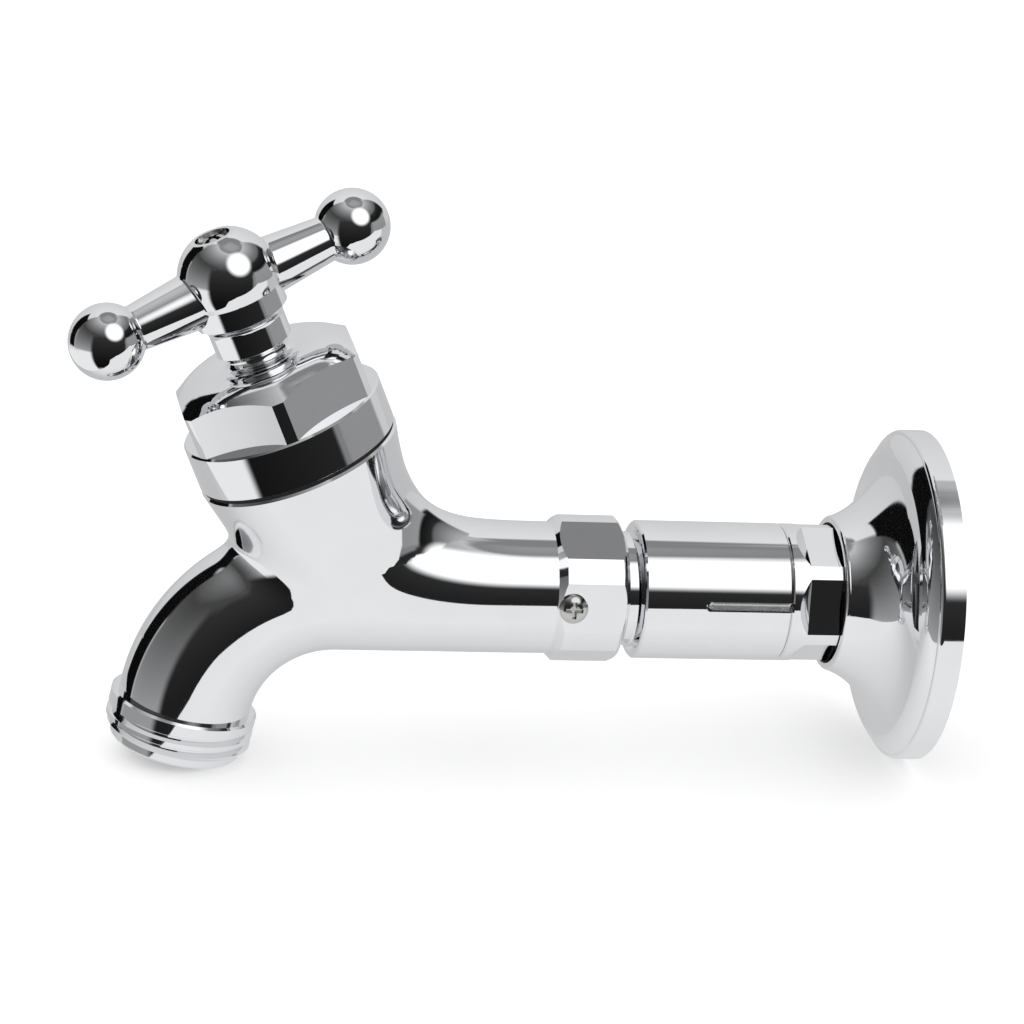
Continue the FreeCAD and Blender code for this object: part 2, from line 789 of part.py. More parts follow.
def waterway():
    """The hollow inside the body: inlet, under the seat, chamber, and down the spout."""
    frame = bonnet_frame()
    rise = size.bonnet_rise.value
    bore = size.inlet_bore.value
    web = size.web.value
    reach = bonnet_reach.value
    floor = -size.floor_depth.value
    seat_foot = seat_top.value - size.seat_length.value
    over = size.overrun.value
    inlet = rod(bore, inlet_end.value - over, reach, wall_frame())
    inlet_ball = Part.makeSphere(bore, Vector(-reach, 0, 0))
    seat_hole = rod(size.seat_hole.value, -rise, seat_foot, frame)
    seat_pocket = rod(size.seat_radius.value + size.seating.value, seat_foot, floor, frame)
    chamber = rod(size.cavity_radius.value, floor, -size.spigot_length.value, frame)
    mouth = rod(size.spigot_radius.value + size.running.value, -size.spigot_length.value - web, over, frame)
    first, start, middle, end, last = spout_line()
    drop = (last - end).normalize() * (size.outlet_length.value + over)
    spout = tube(size.outlet_bore.value - web / 2, (first, start, middle, end, last))
    guard_seat = rod(size.seat_radius.value + web, -rise - bore, floor, frame)
    guard_inlet = rod(bore + web, hexagon_front.value - web, reach, wall_frame())
    guard_end = Part.makeSphere(bore + web, Vector(-reach, 0, 0))
    bend_side = Part.makeBox(reach, reach, reach, Vector(-reach - reach, -reach / 2, -reach / 2))
    outlet = spout.common(bend_side).cut(guard_seat).cut(guard_inlet).cut(guard_end)
    start_bore = last - drop * (web / drop.Length)
    end_bore = Part.makeCylinder(size.outlet_bore.value, drop.Length + web, start_bore, drop)
    solids = [inlet_ball, seat_hole, seat_pocket, chamber, mouth, outlet, end_bore]
    return inlet.multiFuse(solids)


def lock_screw_frame():
    """The frame of the lock screw, on the flat of the inlet hexagon that faces the viewer."""
    turn = math.radians(size.inlet_turn.value)
    outward = Vector(0, -math.cos(turn), math.sin(turn))
    base = Vector(-lock_screw_reach.value, 0, 0) + outward * (size.inlet_across.value / 2)
    return Placement(base, Rotation(Vector(0, 0, 1), outward))


def make_tap_body():
    """The brass casting: inlet thread and hexagon, tube, chamber, spout and hose thread in one piece."""
    hexagon = hex_prism(size.inlet_across.value, size.inlet_corner.value, hexagon_back.value,
                        hexagon_front.value, size.inlet_chamfer_back.value, size.inlet_chamfer.value,
                        size.inlet_turn.value)
    solid = blended_shell()
    for addition in (hexagon, inlet_rod(), outlet_rod()):
        solid = solid.fuse(addition).Solids[0]
    screw_hole = rod(size.lock_shank_radius.value + size.seating.value,
                     -size.lock_shank_length.value - size.loose.value, size.overrun.value, lock_screw_frame())
    for hollow in (waterway(), inlet_groove(), outlet_groove(), screw_hole):
        solid = solid.cut(hollow).Solids[0]
    body = doc.addObject("Part::Feature", "tap_body")
    body.Label = "tap_body"
    body.Shape = solid
    pieces.append(body)


def make_lock_screw():
    """Cross-head screw that locks the tap's inlet."""
    head = size.lock_head_radius
    top = size.lock_head_height
    corners = [
        (0, -size.lock_shank_length),
        (size.lock_shank_radius, -size.lock_shank_length),
        (size.lock_shank_radius, size.seating),
        (head, size.seating),
        (head, size.lock_head_side, head, 1),
        (size.lock_head_crown, top),
        (0, top),
    ]
    body = turned("lock_screw", corners)
    cross_recess(body, size.lock_cross_reach, size.lock_cross / 2, top, size.lock_cross_depth)
    body.Placement = lock_screw_frame()


def make_valve_seat():
    """Seat ring pressed into the chamber's floor."""
    foot = seat_top - size.seat_length
    lip = seat_top - size.seat_bevel
    corners = [
        (size.seat_hole, foot),
        (size.seat_radius, foot),
        (size.seat_radius, lip),
        (size.seat_lip, seat_top),
        (size.seat_hole, seat_top),
    ]
    turned("valve_seat", corners).Placement = bonnet_frame()


# Bonnet and spindle

def make_bonnet():
    """Bonnet with collar, hexagon and domed neck, bored for the spindle."""
    bore = size.spindle_radius + size.running
    thread = size.lift_thread_radius + size.running
    pocket = size.jumper_radius + size.loose
    bevel = size.collar_bevel
    corners = [
        (bore, lift_shoulder),
        (thread, lift_shoulder),
        (thread, -size.spigot_length + size.jumper_pocket),
        (pocket, -size.spigot_length + size.jumper_pocket),
        (pocket, -size.spigot_length),
        (size.spigot_radius - bevel, -size.spigot_length),
        (size.spigot_radius, -size.spigot_length + bevel),
        (size.spigot_radius, 0),
        (collar_radius - bevel, 0),
        (collar_radius, bevel),
        (collar_radius, size.collar_height - bevel),
        (collar_radius - bevel, size.collar_height),
        (size.bonnet_corner, size.collar_height),
        (size.bonnet_corner, corner_height),
        (size.bonnet_across / 2, flat_height, size.dome_round, 1),
        (size.dome_radius, dome_height, size.neck_cove, -1),
        (size.neck_radius, dome_height + size.neck_cove),
        (size.neck_radius, neck_height - bevel),
        (size.neck_radius - bevel, neck_height),
        (bore, neck_height),
    ]
    body = turned("bonnet", corners)
    hex_flats(body, size.bonnet_across, size.collar_height, neck_height, collar_radius)
    body.Placement = bonnet_frame(size.bonnet_turn.value)


def make_bonnet_gasket():
    """Thin fibre gasket between bonnet and body."""
    inner = size.spigot_radius + size.loose
    outer = size.chamber_radius - size.chamber_bevel
    corners = box_corners(inner, outer, -size.gasket_thick, 0)
    turned("bonnet_gasket", corners).Placement = bonnet_frame()


def make_spindle():
    """Rising spindle: lifting thread, two ring grooves and a square for the handle."""
    groove = size.spindle_radius - size.oring_wire + size.oring_squeeze
    half = size.oring_wire / 2 + size.seating
    foot = spindle_foot
    thread = size.lift_thread_radius
    socket = size.stem_pin_radius + size.running
    socket_top = foot + size.stem_pin_length + size.loose
    screw = size.handle_screw_shank + size.running
    hole_foot = screw_seat - size.handle_screw_length - size.loose
    corners = [
        (0, socket_top),
        (socket, socket_top),
        (socket, foot),
        (thread - size.loose, foot),
        (thread, foot + size.loose),
        (thread, size.spindle_shoulder),
        (size.spindle_radius, size.spindle_shoulder),
        (size.spindle_radius, lower_oring - half),
        (groove, lower_oring - half),
        (groove, lower_oring + half),
        (size.spindle_radius, lower_oring + half),
        (size.spindle_radius, upper_oring - half),
        (groove, upper_oring - half),
        (groove, upper_oring + half),
        (size.spindle_radius, upper_oring + half),
        (size.spindle_radius, square_foot),
        (size.square_across / 2 * math.sqrt(2), square_foot),
        (size.square_across / 2 * math.sqrt(2), square_top),
        (screw, square_top),
        (screw, hole_foot),
        (0, hole_foot),
    ]
    body = turned("spindle", corners)
    outline = box_corners(-size.spindle_radius, size.spindle_radius, square_foot, square_top)
    side = pocketed(body, "side", outline, size.spindle_radius, "XZ_Plane", size.square_across / 2)
    round_the_axis(body, side, 4)
    body.Placement = bonnet_frame(size.handle_turn.value)


def make_orings():
    """The two rubber rings in the spindle's grooves."""
    radius = size.oring_wire / 2
    groove = size.spindle_radius - size.oring_wire + size.oring_squeeze
    outer = size.spindle_radius
    rings = (("spindle_oring_upper", upper_oring), ("spindle_oring_lower", lower_oring))
    for name, height in rings:
        corners = [
            (groove, height - radius / 2), (groove + radius / 2, height - radius),
            (outer - radius / 2, height - radius), (outer, height - radius / 2),
            (outer, height + radius / 2), (outer - radius / 2, height + radius),
            (groove + radius / 2, height + radius), (groove, height + radius / 2),
        ]
        turned(name, corners).Placement = bonnet_frame()


def make_thrust_washer():
    """Slippery washer on the spindle's shoulder that stops the lift."""
    inner = size.spindle_radius + size.running
    corners = box_corners(inner, size.thrust_radius, size.spindle_shoulder, thrust_top)
    turned("thrust_washer", corners).Placement = bonnet_frame()


# Valve

def make_jumper():
    """Jumper: a pin in the spindle, the valve disc and the stud below it."""
    corners = [
        (0, washer_top - size.stud_length),
        (size.stud_radius, washer_top - size.stud_length),
        (size.stud_radius, washer_top),
        (size.jumper_radius, washer_top),
        (size.jumper_radius, disc_top),
        (size.stem_pin_radius, disc_top),
        (size.stem_pin_radius, disc_top + size.stem_pin_length),
        (0, disc_top + size.stem_pin_length),
    ]
    turned("jumper", corners).Placement = bonnet_frame()


def make_seat_washer():
    """Rubber washer that shuts the seat."""
    inner = size.stud_radius + size.seating
    low = valve_foot
    corners = box_corners(inner, size.washer_radius, low, low + size.washer_thick)
    turned("seat_washer", corners).Placement = bonnet_frame()


def make_washer_plate():
    """Small metal plate under the seat washer."""
    inner = size.stud_radius + size.seating
    high = valve_foot
    corners = box_corners(inner, size.plate_radius, high - size.plate_thick, high)
    turned("washer_plate", corners).Placement = bonnet_frame()


def make_washer_nut():
    """Small nut that holds the seat washer on the jumper."""
    inner = size.stud_radius + size.seating
    high = valve_foot - size.plate_thick
    low = high - size.nut_thick
    outer = size.nut_across / 2 * 2 / math.sqrt(3)
    body = turned("washer_nut", box_corners(inner, outer, low, high))
    hex_flats(body, size.nut_across, low, high, size.nut_across)
    body.Placement = bonnet_frame()


# Handle

def hub_solid():
    """Ball hub with a skirt, a hollow curve down to a round collar, and a flat on top."""
    ball, skirt, collar = size.hub_radius.value, size.hub_skirt_radius.value, size.hub_collar_radius.value
    cove, edge = size.hub_cove.value, size.hub_edge.value
    foot, centre, flat = hub_foot.value, hub_height.value, hub_flat.value
    step = skirt - collar
    hollow = (step ** 2 + cove ** 2) / (2 * step)
    skirt_foot = Vector(skirt, 0, centre - size.hub_skirt_drop.value)
    cove_foot = Vector(collar, 0, skirt_foot.z - cove)
    cove_centre = cove_foot + Vector(hollow, 0, 0)
    inwards = (cove_foot - cove_centre + skirt_foot - cove_centre).normalize() * hollow
    skirt_top = Vector(skirt, 0, centre - math.sqrt(ball ** 2 - skirt ** 2))
    flat_edge = Vector(math.sqrt(ball ** 2 - (flat - centre) ** 2), 0, flat)
    foot_points = [
        Vector(0, 0, foot), Vector(collar - edge, 0, foot), Vector(collar, 0, foot + edge), cove_foot,
    ]
    edges = [Part.makeLine(first, last) for first, last in zip(foot_points, foot_points[1:])]
    edges.append(Part.Arc(cove_foot, cove_centre + inwards, skirt_foot).toShape())
    edges.append(Part.makeLine(skirt_foot, skirt_top))
    edges.append(Part.Arc(skirt_top, Vector(ball, 0, centre), flat_edge).toShape())
    edges.append(Part.makeLine(flat_edge, Vector(0, 0, flat)))
    edges.append(Part.makeLine(Vector(0, 0, flat), foot_points[0]))
    return Part.Face(Part.Wire(edges)).revolve(Vector(0, 0, 0), Vector(0, 0, 1), 360)


def make_handle():
    """Bar handle: hub, and two tapered arms with ball ends."""
    shape = hub_solid()
    start_x = size.hub_collar_radius.value / 2
    root, tip = size.arm_root_radius.value, size.arm_tip_radius.value
    reach, ball = size.arm_reach.value, size.ball_radius.value
    height = arm_height.value
    for side in (-1, 1):
        start = Vector(side * start_x, 0, height)
        shape = shape.fuse(Part.makeCone(root, tip, reach - start_x, start, Vector(side, 0, 0)))
        shape = shape.fuse(Part.makeSphere(ball, Vector(side * reach, 0, height)))
    shape = rounded_roots(shape.removeSplitter().Solids[0])
    shape = shape.cut(handle_socket())
    handle = doc.addObject("Part::Feature", "handle")
    handle.Label = "handle"
    handle.Shape = shape.removeSplitter().Solids[0]
    handle.Placement = bonnet_frame(size.handle_turn.value)
    pieces.append(handle)


def rounded_roots(solid):
    """Small fillets where the arms meet the hub and the balls."""
    tip = size.arm_tip_radius.value
    seams = []
    for edge in solid.Edges:
        centre = edge.BoundBox.Center
        beside = abs(centre.x) > size.hub_collar_radius.value / 2
        round_the_arm = abs(centre.z - arm_height.value) < tip / 2 and edge.BoundBox.YLength > tip
        if beside and round_the_arm:
            seams.append(edge)
    return solid.makeFillet(size.arm_fillet.value, seams)


def handle_socket():
    """What is cut from the hub: square socket, screw hole and the recess in its top."""
    half = size.square_across.value / 2 + size.seating.value
    top = square_top.value + size.loose.value
    foot = hub_foot.value
    socket = Part.makeBox(half * 2, half * 2, top - foot, Vector(-half, -half, foot))
    over = size.overrun.value
    frame = Placement()
    relief = rod(size.spindle_radius.value + size.running.value, foot - over,
                 square_foot.value + size.seating.value, frame)
    hole = rod(size.handle_screw_shank.value + size.seating.value, top - over, hub_flat.value, frame)
    recess = rod(size.recess_radius.value, lock_washer_seat.value, hub_flat.value + over, frame)
    return socket.multiFuse([relief, hole, recess])


def make_handle_screw():
    """Cross-head screw that holds the handle on the spindle."""
    seat = screw_seat
    head = size.handle_screw_head
    top = seat + size.handle_screw_height
    foot = seat - size.handle_screw_length
    corners = [
        (0, foot),
        (size.handle_screw_shank, foot),
        (size.handle_screw_shank, seat),
        (head, seat),
        (head, seat + size.handle_screw_side, size.handle_screw_round, 1),
        (size.handle_screw_crown, top),
        (0, top),
    ]
    body = turned("handle_screw", corners)
    cross_recess(body, size.handle_cross_reach, size.handle_cross / 2, top, size.handle_cross_depth)
    body.Placement = bonnet_frame(size.handle_turn.value + size.handle_screw_turn.value)


def make_handle_lock_washer():
    """Spring washer under the handle screw."""
    inner = size.handle_screw_shank + size.seating
    corners = box_corners(inner, size.recess_radius - size.loose, lock_washer_seat, screw_seat)
    turned("handle_lock_washer", corners).Placement = bonnet_frame()


def check_and_write():
    """Stop on any failed object, then write each sub-part to its own file."""
    doc.recompute()
    for item in doc.Objects:
        if "Invalid" in item.State or "Error" in item.State:
            raise RuntimeError(f"{item.Name} failed: {item.State}")
    for piece in pieces:
        shape = piece.Shape
        if shape.isNull() or not shape.isValid() or len(shape.Solids) != 1:
            raise RuntimeError(f"{piece.Label} has no valid single solid")
    os.makedirs("parts", exist_ok=True)
    for piece in pieces:
        piece.Shape.exportStep(f"parts/{piece.Label}.step")
        box = piece.Shape.BoundBox
        print(f"{piece.Label}: {piece.Shape.Volume:.1f} mm3, x {box.XMin:.1f} to {box.XMax:.1f}, "
              f"y {box.YMin:.1f} to {box.YMax:.1f}, z {box.ZMin:.1f} to {box.ZMax:.1f}")


make_wall_flange()
make_flange_ring()
make_extension_body()
make_extension_sleeve()
make_sleeve_key()
make_inlet_seal()
make_tap_body()
make_lock_screw()
make_valve_seat()
make_bonnet()
make_bonnet_gasket()
make_spindle()
make_orings()
make_thrust_washer()
make_jumper()
make_seat_washer()
make_washer_plate()
make_washer_nut()
make_handle()
make_handle_screw()
make_handle_lock_washer()
check_and_write()
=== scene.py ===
"""Looks of a chromed garden tap on a wall extension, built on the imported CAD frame.

Everything is in metres in the frame's own space, unless a docstring says millimetres. The frame's pieces stay
as they are, but for the cast body: its outside is made anew, with the wide smooth blends of the real casting.
The studio is a tilted white floor, a pale surrounding, and cards, a lamp and a table that only show in
reflections.
"""

import json
import logging
import math
from dataclasses import dataclass
from enum import Enum
from typing import Callable, Sequence

import bpy
import numpy as np
from mathutils import Matrix, Vector


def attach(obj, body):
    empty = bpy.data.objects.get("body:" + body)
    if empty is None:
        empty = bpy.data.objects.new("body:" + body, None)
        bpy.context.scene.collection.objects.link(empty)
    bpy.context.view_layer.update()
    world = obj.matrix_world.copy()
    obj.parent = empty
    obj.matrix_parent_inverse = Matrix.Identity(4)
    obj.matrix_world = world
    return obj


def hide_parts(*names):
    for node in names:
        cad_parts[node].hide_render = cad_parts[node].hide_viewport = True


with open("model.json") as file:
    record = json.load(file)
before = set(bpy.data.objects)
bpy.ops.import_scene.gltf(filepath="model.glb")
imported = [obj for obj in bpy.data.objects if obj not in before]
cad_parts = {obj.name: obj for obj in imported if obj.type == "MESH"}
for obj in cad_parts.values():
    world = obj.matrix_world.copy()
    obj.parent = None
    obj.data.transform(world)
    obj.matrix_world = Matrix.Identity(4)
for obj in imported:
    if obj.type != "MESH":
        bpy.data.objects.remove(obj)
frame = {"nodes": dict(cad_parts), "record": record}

log = logging.getLogger("garden_tap")
MM = 0.001
Array = np.ndarray
# Smallest length to divide by, the rounds that take a net's points onto its surface and the edge's points
# onto the rim, and the wave texture's scale for cutting lines about one unit apart
TINY = 1e-6
NET_ROUNDS = 6
RIM_ROUNDS = 3
LINE_SCALE = 0.3


# Colours and material nodes

def linear(hex_colour: str) -> tuple[float, float, float, float]:
    """Turn an sRGB hex colour such as "#c8c8c8" into a linear colour with alpha 1."""
    channels = [int(hex_colour[start:start + 2], 16) / 255 for start in (1, 3, 5)]
    bent = [c / 12.92 if c <= 0.04045 else ((c + 0.055) / 1.055) ** 2.4 for c in channels]
    return bent[0], bent[1], bent[2], 1.0


def grey(level: Array) -> Array:
    """Turn sRGB grey levels from 10 to 255 into linear light."""
    return ((level / 255 + 0.055) / 1.055) ** 2.4


def add_node(tree: bpy.types.NodeTree, kind: str, settings: dict[str, object] | None = None,
             values: dict[str | int, object] | None = None,
             links: dict[str | int, bpy.types.NodeSocket] | None = None) -> bpy.types.Node:
    """Add one shader node and set it up.

    Args:
        tree: the node tree that gets the node.
        kind: Blender's type name of the node.
        settings: attributes of the node and their values.
        values: input sockets, by name or number, and their values.
        links: input sockets, by name or number, and the output sockets that feed them.

    Returns:
        The new node.
    """
    node = tree.nodes.new(kind)
    for name, value in (settings or {}).items():
        setattr(node, name, value)
    for socket, value in (values or {}).items():
        node.inputs[socket].default_value = value
    for socket, source in (links or {}).items():
        tree.links.new(source, node.inputs[socket])
    return node


def empty_material(name: str) -> tuple[bpy.types.Material, bpy.types.NodeTree]:
    """A material with an empty node tree."""
    material = bpy.data.materials.new(name)
    material.use_nodes = True
    material.node_tree.nodes.clear()
    return material, material.node_tree


@dataclass(frozen=True)
class Finish:
    """How one real surface looks: its colours, gloss and unevenness.

    The colour wanders from base to second and the roughness from smooth to dull, over spots of spot_mm. A
    bump, bump_mm high and wave_mm wide, stands for the unevenness that polishing, turning or moulding leaves.
    Where lines_mm is not 0, cutting lines about so far apart are added to it.
    """
    name: str
    base: str
    metallic: float
    smooth: float
    dull: float
    spot_mm: float
    bump_mm: float
    wave_mm: float
    second: str
    lines_mm: float = 0.0

    def material(self) -> bpy.types.Material:
        """Build the node material of this finish."""
        material, tree = empty_material(self.name)
        place = add_node(tree, "ShaderNodeTexCoord").outputs["Object"]
        spots = add_node(tree, "ShaderNodeTexNoise", links={"Vector": place},
                         values={"Scale": 1 / (self.spot_mm * MM), "Detail": 4.0, "Roughness": 0.6})
        rough = add_node(tree, "ShaderNodeMapRange", links={"Value": spots.outputs["Fac"]},
                         values={"From Min": 0.3, "From Max": 0.7,
                                 "To Min": self.smooth, "To Max": self.dull})
        tint = add_node(tree, "ShaderNodeMix", {"data_type": "RGBA"},
                        {6: linear(self.base), 7: linear(self.second)}, {0: spots.outputs["Fac"]})
        bump = add_node(tree, "ShaderNodeBump", links={"Height": self.height(tree, place)},
                        values={"Strength": 1.0, "Distance": self.bump_mm * MM})
        shader = add_node(tree, "ShaderNodeBsdfPrincipled", values={"Metallic": self.metallic},
                          links={"Base Color": tint.outputs[2], "Roughness": rough.outputs[0],
                                 "Normal": bump.outputs[0]})
        add_node(tree, "ShaderNodeOutputMaterial", links={"Surface": shader.outputs[0]})
        return material

    def height(self, tree: bpy.types.NodeTree, place: bpy.types.NodeSocket) -> bpy.types.NodeSocket:
        """Add the nodes of the unevenness.

        Args:
            tree: the material's node tree.
            place: output socket with the place on the piece.

        Returns:
            The output socket that gives the height.
        """
        waves = add_node(tree, "ShaderNodeTexNoise", links={"Vector": place},
                         values={"Scale": 1 / (self.wave_mm * MM), "Detail": 2.0}).outputs["Fac"]
        if not self.lines_mm:
            return waves
        lines = add_node(tree, "ShaderNodeTexWave", {"bands_direction": "DIAGONAL"},
                         {"Scale": LINE_SCALE / (self.lines_mm * MM), "Distortion": 2.0}, {"Vector": place})
        return add_node(tree, "ShaderNodeMath", {"operation": "ADD"},
                        links={0: waves, 1: lines.outputs["Fac"]}).outputs[0]


class Slot(Enum):
    """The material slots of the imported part."""
    BODY = "chrome_body"
    BONNET = "chrome_bonnet"
    EXTENSION = "chrome_extension"
    SLEEVE = "chrome_sleeve"
    FLANGE = "chrome_flange"
    HANDLE = "chrome_handle"
    SCREW = "bright_screw"
    KEY = "bright_key"
    BRASS = "plain_brass"
    RUBBER = "black_rubber"
    FIBRE = "red_fibre"
    NYLON = "white_nylon"


# Chromium over polished brass mirrors the room with a faint cool tint. Cast pieces wave a little, turned and
# milled ones hardly, and the bare brass, steel, rubber, fibre and nylon are duller.
CHROME = "#eeeff0"
CHROME_SOFT = "#e6e7ea"
# Name, base, metallic, smooth, dull, spots, bump and its width in millimetres, second colour, cutting lines
FINISHES = {
    Slot.BODY: Finish("chromed_cast_brass", CHROME, 1.0, 0.035, 0.060, 9.0, 0.0016, 7.0, CHROME_SOFT),
    Slot.BONNET: Finish("chromed_milled_brass", CHROME, 1.0, 0.030, 0.050, 7.0, 0.0008, 5.0, CHROME_SOFT),
    Slot.EXTENSION: Finish("chromed_bar_brass", CHROME, 1.0, 0.040, 0.060, 6.0, 0.0008, 5.0, CHROME_SOFT),
    Slot.SLEEVE: Finish("chromed_turned_brass", CHROME, 1.0, 0.030, 0.050, 8.0, 0.0006, 9.0, CHROME_SOFT),
    Slot.FLANGE: Finish("chromed_spun_brass", CHROME, 1.0, 0.035, 0.060, 10.0, 0.0014, 8.0, CHROME_SOFT),
    Slot.HANDLE: Finish("chromed_cast_handle", CHROME, 1.0, 0.030, 0.050, 5.0, 0.0008, 4.0, CHROME_SOFT),
    Slot.SCREW: Finish("nickelled_steel", "#cfcfcf", 1.0, 0.10, 0.20, 1.5, 0.002, 0.8, "#b9b8b6"),
    Slot.KEY: Finish("brushed_steel", "#e8e9ea", 1.0, 0.20, 0.30, 2.0, 0.001, 1.5, "#d8d9da"),
    Slot.BRASS: Finish("turned_brass", "#c79f5a", 1.0, 0.16, 0.30, 2.0, 0.003, 1.2, "#b28a47", 0.25),
    Slot.RUBBER: Finish("moulded_rubber", "#1b1b1c", 0.0, 0.55, 0.75, 1.2, 0.010, 0.5, "#262627"),
    Slot.FIBRE: Finish("pressed_fibre", "#15100f", 0.0, 0.70, 0.90, 0.8, 0.020, 0.3, "#1e1513"),
    Slot.NYLON: Finish("moulded_nylon", "#e6e3da", 0.0, 0.35, 0.50, 2.0, 0.004, 1.0, "#dcd8cc"),
}


# Studio

def direction(azimuth: Array, elevation: Array) -> Array:
    """Directions (sin a cos e, -cos a cos e, sin e) to azimuths a and elevations e in radians."""
    return np.stack([np.sin(azimuth) * np.cos(elevation), -np.cos(azimuth) * np.cos(elevation),
                     np.sin(elevation)], axis=-1)


def eased(share: Array) -> Array:
    """Hold shares between 0 and 1 and ease them at both ends, as s s (3 - 2 s)."""
    held = np.clip(share, 0, 1)
    return held * held * (3 - 2 * held)


@dataclass(frozen=True)
class Card:
    """A card or panel of the studio as a patch of the sky round the tap.

    Degrees: azimuth 0 is towards the viewer and grows towards the wall, elevation grows upwards. Brightness
    is an sRGB grey, and runs straight from the lower to the upper edge. Cards of higher layers hang nearer.
    Each card fades out over its border.
    """
    name: str
    left: float
    right: float
    low: float
    high: float
    glow: tuple[float, float]
    layer: int
    border: float

    def grid(self, columns: int = 81, rows: int = 61) -> tuple[Array, Array, Array]:
        """Directions, brightness and cover of the patch's grid of points.

        The cover is the distance to the nearest edge over the border, eased at both ends. It is 1 all over
        where the border is 0.

        Returns:
            The directions as a (rows, columns, 3) array, and the linear brightness and the cover as
            (rows, columns) arrays.
        """
        turn, rise = np.meshgrid(np.linspace(self.left, self.right, columns),
                                 np.linspace(self.low, self.high, rows))
        share = (rise - self.low) / (self.high - self.low)
        level = self.glow[0] + (self.glow[1] - self.glow[0]) * share
        inside = np.minimum(np.minimum(turn - self.left, self.right - turn),
                            np.minimum(rise - self.low, self.high - rise))
        cover = eased(inside / self.border) if self.border else np.ones_like(inside)
        return direction(np.radians(turn), np.radians(rise)), grey(level), cover


@dataclass(frozen=True)
class Lamp:
    """The round softbox: a disc of the sky, placed as a card is, with its half width in degrees.

    Its cover is 1 inside the core, which is a share of the radius, and eases to 0 at the rim.
    """
    name: str = "softbox"
    azimuth: float = 22.0
    elevation: float = 45.0
    radius: float = 31.0
    light: float = 1.4
    core: float = 0.6
    layer: int = 6

    def grid(self, rings: int = 49, spokes: int = 97) -> tuple[Array, Array, Array]:
        """Directions, brightness and cover of the disc's grid of points.

        A point at share s of the radius and turn w stands at the angle t = s radius from the lamp's axis, in
        the direction cos t axis + sin t cos w side + sin t sin w over.

        Returns:
            The directions as a (rings, spokes, 3) array, and the linear brightness and the cover as
            (rings, spokes) arrays.
        """
        axis = direction(np.radians(self.azimuth), np.radians(self.elevation))
        side = np.cross(axis, (0, 0, 1.0))
        side /= np.linalg.norm(side)
        over = np.cross(side, axis)
        share, turn = np.meshgrid(np.linspace(0.001, 1, rings), np.linspace(0, 2 * math.pi, spokes),
                                  indexing="ij")
        angle, turn = (math.radians(self.radius) * share)[..., None], turn[..., None]
        directions = np.cos(angle) * axis + np.sin(angle) * (np.cos(turn) * side + np.sin(turn) * over)
        return directions, np.full(share.shape, self.light), eased((1 - share) / (1 - self.core))


# Name, left, right, low, high, brightness below and above, layer, border. The room is the sky behind all.
CARDS = (
    Card("room", -180, 180, -90, 90, (250, 250), -1, 0.0),
    Card("behind", 90, 270, -25, 75, (205, 243), 0, 12.0),
    Card("ceiling_back", 100, 260, 64, 94, (138, 142), 1, 4.0),
    Card("ceiling_front", -112, 112, 67, 94, (130, 200), 1, 4.0),
    Card("ceiling", -190, 190, 76, 104, (168, 168), 2, 14.0),
    Card("upper", -118, 132, 14, 72, (16, 212), 1, 5.0),
    Card("black_left", -142, -111, -18, 43, (12, 12), 2, 3.0),
    Card("panel_left", -114, -36, -21, 36, (175, 62), 2, 6.0),
    Card("panel_right", 50, 116, -14, 24, (148, 160), 2, 6.0),
    Card("dark_right", 50, 129, 19, 42, (14, 50), 2, 5.0),
    Card("black_front", -57, 60, -75, 33, (8, 54), 3, 12.0),
)


@dataclass(frozen=True)
class Sheet:
    """A level sheet in millimetres, drawn from rows of depth, left end, right end and sRGB grey."""
    name: str
    height: float
    rows: tuple[tuple[float, float, float, float], ...]

    def mesh(self) -> tuple[Array, Array, Array]:
        """Points in metres, quads between the rows, and the linear light of each point."""
        depth, left, right, level = np.array(self.rows).T
        across = np.stack([left, right], -1)
        points = np.stack([across, np.repeat(depth[:, None], 2, 1), np.full_like(across, self.height)], -1)
        light = grey(np.repeat(level[:, None], 2, 1))
        return points.reshape(-1, 3) * MM, grid_faces(len(depth), 2), light


# The table under the tap begins at a slanting left edge. It is light in front of the tap, and greyer under
# and behind it: that grey is a painted shadow of the tap, put into the sheet's light.
TABLE_WITH_PAINTED_SHADOW = Sheet("table", -39.0, (
    (-1200, 2199, 2200, 244), (-492, 628, 2200, 244), (-187, -50, 2200, 246), (-173, -80, 2200, 246),
    (-121, -134, 2200, 246), (-75, -142, 2200, 246), (-45, -160, 2200, 247), (-20, -175, 2200, 238),
    (0, -185, 2200, 226), (13, -190, 2200, 213), (30, -197, 2200, 204), (58, -208, 2200, 202),
    (189, -229, 2200, 202), (900, -900, 2200, 204), (1500, -1500, 2200, 204)))


def card_material(name: str) -> bpy.types.Material:
    """An emission material whose light and cover are the colour and alpha of the attribute "glow"."""
    material, tree = empty_material(name)
    glow = add_node(tree, "ShaderNodeAttribute", {"attribute_name": "glow"})
    light = add_node(tree, "ShaderNodeEmission", values={"Strength": 1.0},
                     links={"Color": glow.outputs["Color"]})
    clear = add_node(tree, "ShaderNodeBsdfTransparent")
    both = add_node(tree, "ShaderNodeMixShader",
                    links={0: glow.outputs["Alpha"], 1: clear.outputs[0], 2: light.outputs[0]})
    add_node(tree, "ShaderNodeOutputMaterial", links={"Surface": both.outputs[0]})
    return material


def grid_faces(rows: int, columns: int) -> Array:
    """Corner numbers of the quads of a (rows, columns) grid of points."""
    number = np.arange(rows * columns).reshape(rows, columns)
    return np.stack([number[:-1, :-1], number[:-1, 1:], number[1:, 1:], number[1:, :-1]], -1).reshape(-1, 4)


def placed(name: str, mesh: bpy.types.Mesh) -> bpy.types.Object:
    """Put a mesh into the scene as an object at the origin."""
    thing = bpy.data.objects.new(name, mesh)
    bpy.context.scene.collection.objects.link(thing)
    return thing


